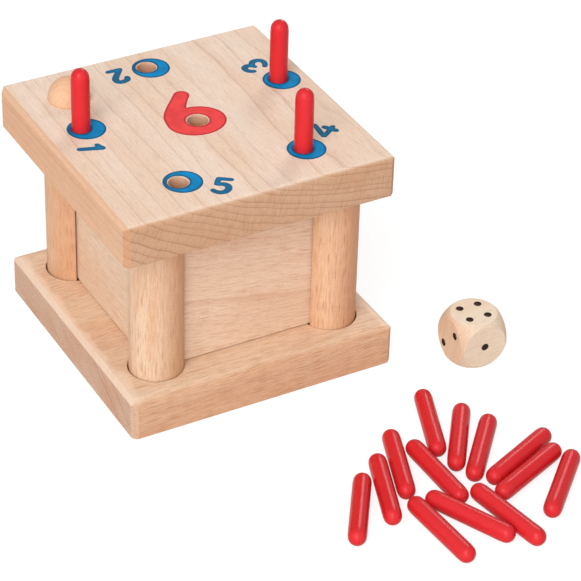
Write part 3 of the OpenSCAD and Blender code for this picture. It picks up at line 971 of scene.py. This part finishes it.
def encloses(outline, at):
    """Whether a point lies inside a closed outline."""
    odd = False
    for (x0, y0), (x1, y1) in zip(outline, outline[1:] + outline[:1]):
        if (y0 > at.y) != (y1 > at.y) and at.x < x0 + (at.y - y0) * (x1 - x0) / (y1 - y0):
            odd = not odd
    return odd


def points_along(edges, step):
    """A search tree of points along the (start, end) edges, no further apart than step."""
    points = []
    for a, b in edges:
        n = max(1, math.ceil((b - a).length / step))
        points += [(a + (b - a) * k / n).to_3d() for k in range(n + 1)]
    tree = KDTree(len(points))
    for k, at in enumerate(points):
        tree.insert(at, k)
    tree.balance()
    return tree


def print_piece(name, inked, inner, bare, material):
    """A film of ink on the lid: the inked outlines without the bare ones. The inner outlines only give it
    points a rim's width inside. Its rim attribute is 1 along the edge and 0 inside."""
    points, faces = [], []
    for outline in inked + inner + bare:
        faces.append(list(range(len(points), len(points) + len(outline))))
        points.extend(Vector(p) for p in outline)
    flat, _, tris, _, _, _ = delaunay_2d_cdt(points, [], faces, 0, 1e-5)
    kept = []
    for tri in tris:
        middle = sum((flat[k] for k in tri), Vector((0, 0))) / 3
        if any(encloses(f, middle) for f in inked) and not any(encloses(f, middle) for f in bare):
            kept.append(tri)
    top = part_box("lid_board")[1][2]
    bm = bmesh.new()
    rim = bm.verts.layers.float.new("rim")
    made = {k: bm.verts.new((flat[k].x * MM, flat[k].y * MM, top + INK_T * MM)) for tri in kept for k in tri}
    for tri in kept:
        bm.faces.new([made[k] for k in tri])
    edge = points_along([[v.co.xy for v in e.verts] for e in bm.edges if e.is_boundary], 0.05 * MM)
    for v in bm.verts:
        v[rim] = max(0.0, 1 - edge.find(v.co.xy.to_3d())[2] / (INK_RIM * MM))
    bm.normal_update()
    bmesh.ops.reverse_faces(bm, faces=[f for f in bm.faces if f.normal.z < 0])
    draw_out(bm, bm.faces[:], (0, 0, -(INK_T + INK_SUNK)), keep=True)
    piece(mesh_object(bm, name, weld=0), material, "lid")


def strokes(number, grow_by, place):
    """The outlines of a digit's brush strokes, each point put in its place on the lid."""
    return [[place(x, y) for x, y in brush([(x, y, w + grow_by) for x, y, w in stroke])]
            for stroke in DIGITS[number]]


def make_prints():
    discs, discs_in, bare, digits, digits_in = [], [], [], [], []
    for number in range(1, 6):
        out = out_to(number)
        disc = PRINT_AT + PRINT_R * out
        # The ink runs up to a filled hole, and ends at the sanded mouth of an empty one
        hole = RING_HOLE_R + (0.04 if number in STANDING else MOUTH + 0.06)
        discs.append(circle(disc, DISC_R))
        discs_in += [circle(disc, DISC_R - INK_RIM), circle(ring_hole(number), hole + INK_RIM)]
        bare.append(circle(ring_hole(number), hole))
        # The digit stands beside its disc, with its top to the ring's middle
        right = Vector((-out.y, out.x))
        middle = disc + right * DIGIT_FROM_DISC

        def place(x, y):
            return tuple(middle + right * x - out * y)

        digits += strokes(number, DIGIT_SWELL, place)
        digits_in += strokes(number, DIGIT_SWELL - INK_RIM / 2, place)
    print_piece("blue_discs", discs, discs_in, bare, BLUE_INK)
    print_piece("blue_digits", digits, digits_in, [], NAVY_INK)
    cx, cy, rx, ry = SIX_BOWL
    bowl, bowl_in = ([(cx + (rx - cut) * x, cy + (ry - cut) * y) for x, y in circle((0, 0), 1, 96)]
                     for cut in (0, INK_RIM))
    eye = DROP_HOLE_R + MOUTH + 0.1
    stem_in = [(x, y, w - INK_RIM) for x, y, w in SIX_STEM]
    inner = [bowl_in, brush(stem_in), circle(RING_AT, eye + INK_RIM)]
    print_piece("red_six", [bowl, brush(SIX_STEM)], inner, [circle(RING_AT, eye)], RED_INK)


# Each post's name, corner and two colours, and each panel's name, direction and slope of the grain
POSTS = [("front_left", -1, -1, (233, 206, 180), (215, 170, 134)),
         ("front_right", 1, -1, (228, 188, 153), (215, 158, 120)),
         ("back_left", -1, 1, (221, 178, 144), (212, 163, 127)),
         ("back_right", 1, 1, (222, 182, 148), (212, 168, 134))]
PANELS = [("front", (1, 0, 0), 9), ("back", (1, 0, 0), -2), ("left", (0, 1, 0), 3), ("right", (0, 1, 0), -4)]

make_lid()
make_base()
for seed, post in enumerate(POSTS):
    make_post(seed, *post)
for seed, panel in enumerate(PANELS):
    make_panel(seed, *panel)
make_pin()
peg_maker = turned_peg_tree()
for n in STANDING:
    make_peg(f"standing_peg_red_{n}", f"peg_in_hole_{n}", f"standing_peg_{n}", peg_maker, n)
for n in range(1, 14):
    make_peg(f"lying_peg_red_{n}", f"loose_peg_{n}", f"lying_peg_{n}", peg_maker, 10 + n)
make_die()
make_pips()
make_prints()


# Floor, light and camera
def seen_directly(t):
    path = node(t, "ShaderNodeLightPath").outputs
    glossy = calc(t, "MAXIMUM", path["Is Glossy Ray"], path["Is Transmission Ray"])
    return calc(t, "MAXIMUM", path["Is Camera Ray"], glossy)


def add_floor(half_width):
    me = bpy.data.meshes.new("floor")
    me.from_pydata([(x * half_width, y * half_width, 0) for x, y in ((-1, -1), (1, -1), (1, 1), (-1, 1))],
                   [], [(0, 1, 2, 3)])
    m, t = blank(bpy.data.materials, "pale floor")
    plain = shade(t, "BsdfDiffuse", {"Color": (0.85, 0.85, 0.85, 1)})
    shown = shade(t, "AddShader", {
        0: shade(t, "BsdfDiffuse", {"Color": (0.3, 0.3, 0.3, 1)}),
        1: shade(t, "Emission", {"Strength": 0.8})})
    mixed = shade(t, "MixShader", {0: seen_directly(t), 1: plain, 2: shown})
    node(t, "ShaderNodeOutputMaterial", {"Surface": mixed})
    me.materials.append(m)
    loose_object("floor", me)


def add_world(ambient):
    """A white room that gives the object a weak light from all around."""
    bpy.context.scene.world, t = blank(bpy.data.worlds, "white room")
    room, white = (shade(t, "Background", {"Color": (1, 1, 1, 1), "Strength": strength})
                   for strength in (ambient, 1.0))
    mixed = shade(t, "MixShader", {0: seen_directly(t), 1: room, 2: white})
    node(t, "ShaderNodeOutputWorld", {"Surface": mixed})


def add_softbox(name, azimuth, elevation, size, watts):
    """A square lamp turned to the object; azimuth is from +X towards +Y, in degrees."""
    lamp = bpy.data.lights.new(name, "AREA")
    lamp.shape, lamp.size, lamp.energy = "SQUARE", size, watts
    ob = loose_object(name, lamp)
    a, e = math.radians(azimuth), math.radians(elevation)
    out = Vector((math.cos(a) * math.cos(e), math.sin(a) * math.cos(e), math.sin(e)))
    ob.location = Vector((0.02, -0.03, 0.04)) + out * 1.6
    ob.rotation_euler = out.to_track_quat("Z", "Y").to_euler()


def add_camera(at, turn, lens):
    """The camera of the photograph; turn is in degrees."""
    cam = bpy.data.cameras.new("camera")
    cam.sensor_width, cam.lens, cam.clip_start, cam.clip_end = 36, lens, 0.05, 20
    ob = loose_object("camera", cam)
    ob.location = at
    ob.rotation_euler = [math.radians(a) for a in turn]
    bpy.context.scene.camera = ob


add_floor(3)
add_world(0.41)
add_softbox("key from the front left", -138, 46, 1.0, 15.9)
add_softbox("fill from the front", -128, 16, 0.9, 6.6)
add_softbox("light from behind right", 42, 38, 0.46, 4.8)
add_camera((-0.38228, -0.747457, 0.600976), (55.1618, -1.37712, -28.51168), 165.1)
bpy.context.scene.view_settings.view_transform = "Standard"
